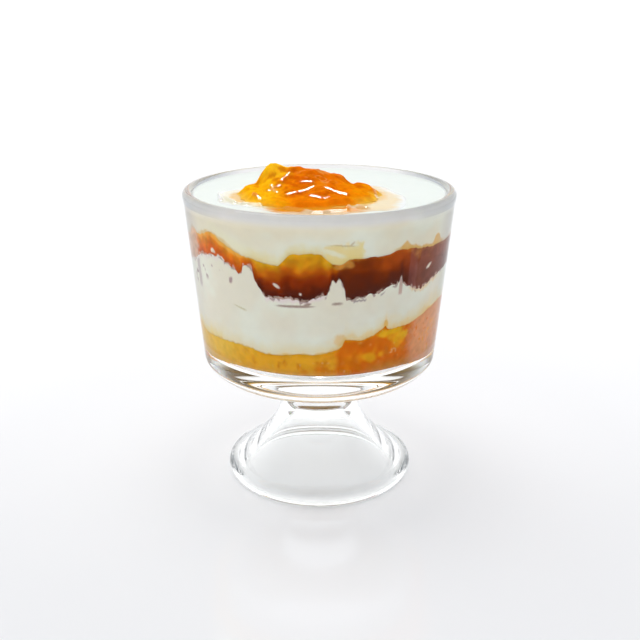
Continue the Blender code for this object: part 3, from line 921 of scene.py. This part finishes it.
def make_heap(look, wet_look):
    """The heap of jam: fine lumps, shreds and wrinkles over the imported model's form."""
    turn = 2 * math.pi * np.arange(HEAP_STEPS) / HEAP_STEPS
    wander = 1.0 + 0.05 * np.sin(3 * turn + 0.6) + 0.03 * np.sin(7 * turn)
    wander = wander + 0.02 * np.sin(13 * turn + 1.0) + 0.012 * np.sin(29 * turn + 2.0)
    shares = np.sin(np.linspace(0.0, math.pi / 2, HEAP_RINGS))
    x = HEAP_CENTRE[0] + HEAP_RADII[0] * shares[:, None] * wander * np.cos(turn)
    y = HEAP_CENTRE[1] + HEAP_RADII[1] * shares[:, None] * wander * np.sin(turn)
    base = yogurt_surface(x, y)
    inside = smooth(1.0, 0.86, shares)[:, None]
    body = lump_height(x, y)
    thick = smooth(0.3 * MM, 2.5 * MM, body)
    wrinkles = WRINKLES * cloud(x / MM + 90, y / MM + 90, 3.6, 61, 2)
    relief = (0.35 + 0.65 * thick) * (shred_height(x, y) + wrinkles) - 0.25 * MM * thick
    top = base + HEAP_EDGE * inside + (0.25 + 0.75 * inside) * body + inside * relief
    top = np.maximum(top, base - 0.05 * MM)
    rings = laid_on_yogurt(x, y, base, top, HEAP_UNDERSIDE_STEP, HEAP_SINK)
    colours = paint_heap(rings[..., 0], rings[..., 1], rings[..., 2] - YOGURT_WALL_Z)
    heap = skin("jam_heap_lumps", rings, colours)
    dress(heap, look, "heap_jam", "jam_heap")
    shine_on_strands(heap, wet_look)
    return heap


def syrup_outline(angles):
    """How far the syrup reaches from its centre at these angles, in metres."""
    points = np.array(SYRUP_OUTLINE) - SYRUP_CENTRE
    known = np.arctan2(points[:, 1], points[:, 0])
    reach = np.hypot(points[:, 0], points[:, 1])
    order = np.argsort(known)
    known, reach = known[order], reach[order]
    known = np.concatenate([known - 2 * math.pi, known, known + 2 * math.pi])
    return MM * np.interp(angles, known, np.tile(reach, 3))


def syrup_ridges(x, y):
    """1 along the ridges that stand out of the syrup and catch the light, and 0 a little beside them."""
    raised = np.zeros_like(x)
    for start, end in SYRUP_RIDGES:
        start, end = np.array(start) * MM, np.array(end) * MM
        run = end - start
        share = ((x - start[0]) * run[0] + (y - start[1]) * run[1]) / (run @ run)
        share = np.clip(share, 0.0, 1.0)
        away = np.hypot(x - start[0] - share * run[0], y - start[1] - share * run[1])
        raised = np.maximum(raised, smooth(1.0, 0.0, away / RIDGE_WIDTH))
    return raised


def make_syrup(look):
    """The thin syrup that runs out from under the heap, with wet ridges where it is thickest."""
    turn = 2 * math.pi * np.arange(SYRUP_STEPS) / SYRUP_STEPS - math.pi
    reach = syrup_outline(turn)
    reach = np.convolve(np.concatenate([reach[-3:], reach, reach[:3]]), np.full(7, 1 / 7), "valid")
    shares = np.sin(np.linspace(0.0, math.pi / 2, SYRUP_RINGS))[:, None]
    x = SYRUP_CENTRE[0] * MM + shares * reach * np.cos(turn)
    y = SYRUP_CENTRE[1] * MM + shares * reach * np.sin(turn)
    base = yogurt_surface(x, y)
    inside = smooth(1.0, 0.90, shares)
    top = base + SYRUP_DEPTH * inside + RIDGE_HEIGHT * syrup_ridges(x, y) * smooth(1.0, 0.97, shares)
    rings = laid_on_yogurt(x, y, base, top, SYRUP_UNDERSIDE_STEP, SYRUP_SINK)
    outwards = np.concatenate([shares, shares[::-SYRUP_UNDERSIDE_STEP]])
    colours = paint_syrup(rings[..., 0], rings[..., 1], outwards)
    return dress(skin("jam_syrup_pool", rings, colours), look, "heap_jam")


def paint_syrup(x, y, share):
    """Syrup: pale gold at its left tip, orange close to the heap, peach at the right and white at its rim."""
    close = np.hypot((x - HEAP_CENTRE[0]) / HEAP_RADII[0], (y - HEAP_CENTRE[1]) / HEAP_RADII[1])
    x, y = x / MM, y / MM
    fine = cloud(x + 90, y + 90, 3.0, 92)
    pale = blend(lit(247, 238, 208), lit(243, 217, 168), smooth(0, 18, x))
    colour = blend(lit(243, 190, 92), pale, smooth(1.0, 1.10, close + 0.04 * fine))
    middle = smooth(-24, -12, x + fine) * smooth(19, 9, x + fine)
    front = y + 0.7 * fine
    colour = blend(colour, lit(240, 152, 34), middle * smooth(-29, -32, y) * smooth(-38.5, -35.5, front))
    colour = blend(colour, lit(233, 190, 142), 0.85 * middle * smooth(-35.5, -38.5, front))
    return blend(colour, lit(248, 248, 242), smooth(0.88, 1.0, share + 0.04 * fine) * smooth(-37, -30, y))


def paint_heap(x, y, height):
    """Heap: amber at the left, deep orange in the middle, redder on top, with pale peel that carries a
    painted sheen, and pale edges.
    """
    x, y, height = x / MM, y / MM, height / MM
    broad = cloud(x + 90, y + 90, 8.0, 71)
    fine = cloud(x + 90, y + 90, 2.2, 72)
    colour = blend(heaped(248, 172, 14), heaped(229, 118, 6), smooth(-17, -6, x + 3 * broad))
    peak = smooth(8, 3, np.hypot(x + 15, y + 7)) * smooth(4.0, 7.0, height)
    red = smooth(4.0, 6.5, height + 1.2 * fine + broad) * smooth(-11, -5, x + 3 * fine)
    deep = smooth(0.0, 0.9, fine + 0.5 * broad) * smooth(1.5, 3.5, height)
    peel = smooth(0.25, 0.05, np.abs(cloud(x + 60, 1.6 * y + 60, 3.4, 75, 2)))
    peel = peel * smooth(9, 5, np.hypot(x, y + 9))
    rim = smooth(1.1, 0.2, height + 0.25 * fine)
    runs_on = smooth(-24, -12, x + fine) * smooth(19, 9, x + fine) * smooth(-20, -27, y)
    thin = smooth(2.2, 1.0, height + 0.3 * fine) * (1 - runs_on)
    colour = coated(colour, heaped, coats=(
        ((232, 132, 5), smooth(7, 14, x + 3 * broad)),
        ((252, 188, 30), peak),
        ((218, 104, 6), 0.75 * red),
        ((198, 84, 4), 0.6 * deep),
        # Pale peel, with a painted sheen on it.
        ((236, 150, 74), 0.6 * peel),
        ((242, 180, 50), 0.7 * thin),
    ))
    colour = blend(colour, lit(243, 190, 92), 0.8 * rim * (1 - runs_on))
    return blend(colour, lit(240, 152, 34), rim * runs_on)


def add_area(name, place, size, power, target):
    data = bpy.data.lights.new(name, "AREA")
    data.shape = "RECTANGLE"
    data.size, data.size_y = size
    data.energy = power
    lamp = bpy.data.objects.new(name, data)
    lamp.location = place
    direction = Vector(target) - Vector(place)
    lamp.rotation_euler = direction.to_track_quat("-Z", "Y").to_euler()
    bpy.context.scene.collection.objects.link(lamp)
    return lamp


def add_spot(name, power, spread, floor):
    """A spot of light under the glass, as the glass gathers it in life. Only the floor takes it."""
    data = bpy.data.lights.new(name, "SPOT")
    data.energy, data.spot_size, data.spot_blend = power, math.radians(spread), 1.0
    lamp = bpy.data.objects.new(name, data)
    lamp.location = (0.0, 0.0, SPOT_HEIGHT)
    bpy.context.scene.collection.objects.link(lamp)
    only_for(lamp, floor)
    blockers = bpy.data.collections.new(name + "_blockers")
    blockers.objects.link(floor)
    lamp.light_linking.blocker_collection = blockers


def only_for(lamp, *pieces):
    """Lets a lamp shine on these pieces alone."""
    lit = bpy.data.collections.new(lamp.name + "_lit")
    for piece in pieces:
        lit.objects.link(piece)
    lamp.light_linking.receiver_collection = lit


def make_world():
    """A bright room: white above and behind the glass, dark beside and behind the camera. Mirror images take
    a dark ceiling, so that the wet jam stays deep in colour between the glints.
    """
    world = bpy.data.worlds.new("studio")
    world.use_nodes = True
    tree = world.node_tree
    place = add_node(tree, "TexCoord", {}).outputs["Generated"]
    split = add_node(tree, "SeparateXYZ", {0: place}).outputs
    behind = ranged(tree, split["Y"], -0.30, 0.40)
    above = ranged(tree, split["Z"], 0.45, 0.80)
    most = calculated(tree, "MAXIMUM", behind, above)
    ceiling = ranged(tree, split["Z"], 0.35, 0.60)
    rays = add_node(tree, "LightPath", {}).outputs
    mirrored = calculated(tree, "SUBTRACT", rays["Is Glossy Ray"], rays["Is Transmission Ray"])
    hidden = calculated(tree, "MULTIPLY", ceiling, mirrored)
    shown = calculated(tree, "SUBTRACT", most, hidden)
    colour = mixed(tree, ROOM_DARK, ROOM_WHITE, shown)
    filled(tree, tree.nodes["Background"], {"Color": colour, "Strength": ROOM_STRENGTH})
    bpy.context.scene.world = world


def make_floor():
    mesh = bpy.data.meshes.new("floor")
    corners = [(x * FLOOR_HALF, y * FLOOR_HALF, 0.0) for x, y in ((-1, -1), (1, -1), (1, 1), (-1, 1))]
    mesh.from_pydata(corners, [], [(0, 1, 2, 3)])
    floor = bpy.data.objects.new("floor", mesh)
    bpy.context.scene.collection.objects.link(floor)
    made, tree, shader = new_material("glossy_white")
    filled(tree, shader, {"Base Color": (*FLOOR_WHITE, 1.0), "Roughness": 0.12, "Specular IOR Level": 0.6})
    mesh.materials.append(made)
    return floor


def make_camera():
    data = bpy.data.cameras.new("camera")
    data.sensor_width = SENSOR_MM
    data.lens = FOCAL_PIXELS / FRAME_PIXELS * SENSOR_MM
    data.clip_start = 0.01
    camera = bpy.data.objects.new("camera", data)
    camera.location = CAMERA_PLACE
    camera.rotation_euler = (math.radians(90.0 - CAMERA_PITCH), 0.0, 0.0)
    bpy.context.scene.collection.objects.link(camera)
    bpy.context.scene.camera = camera


def make_food():
    angles = food_angles()
    orange_top = around(JAM_BOTTOM_TOP, angles) + crags(angles, 0.45, 3.0, 81)
    dark_low = around(DARK_JAM_LOW, angles) + crags(angles, 0.75, 2.6, 82)
    dark_top = around(DARK_JAM_TOP, angles) + crags(angles, 0.45, 3.2, 83)
    bottom = 0 * angles + FLOOR_Z + FLOOR_FILLET
    top = 0 * angles + YOGURT_WALL_Z
    looks = {name: painted(name, *numbers) for name, numbers in FOOD_LOOKS.items()}
    orange, dark, yogurt = looks["orange_jam"], looks["dark_jam"], looks["yogurt"]
    return [
        food_layer("orange_jam_layer", bottom, orange_top, 40, orange, "orange_jam", "jam_bottom",
                   paint_orange_jam, base=floor_rings),
        food_layer("yogurt_middle_layer", orange_top, dark_low, 66, yogurt, "yogurt", "yogurt_middle",
                   paint_yogurt_middle),
        food_layer("dark_jam_layer", dark_low, dark_top, 40, dark, "dark_jam", "jam_dark", paint_dark_jam),
        food_layer("yogurt_top_layer", dark_top, top, 40, yogurt, "yogurt", "yogurt_top", paint_yogurt_top,
                   cap=surface_rings),
        make_syrup(looks["jam_syrup"]),
        make_heap(looks["heap_jam"], looks["wet_strands"]),
    ]


def main():
    bpy.context.scene.view_settings.view_transform = "Standard"
    paths = bpy.context.scene.cycles
    paths.max_bounces, paths.glossy_bounces, paths.transmission_bounces = 24, 16, 24
    make_camera()
    make_world()
    floor = make_floor()
    clear = glass_material("clear_glass", 1.5, CLEAR_TINT)
    wall = glass_material("clear_glass_wall", 1.2, CLEAR_TINT)
    make_glass(clear, wall, glass_material("clear_glass_rim", 1.5, RIM_TINT, RIM_SIDE_SHADE))
    pieces = make_food()
    add_area(*KEY_LAMP, FOOD_MIDDLE)
    for lamp in FILL_LAMPS:
        fill = add_area(*lamp, FOOD_MIDDLE)
        fill.visible_glossy = False
        only_for(fill, *pieces)
    for lamp in GLINTS:
        glint = add_area(*lamp, HEAP_MIDDLE)
        glint.visible_diffuse = False
        only_for(glint, *pieces[-2:])
    for name, power, spread in FOOT_SPOTS:
        add_spot(name, power, spread, floor)


main()
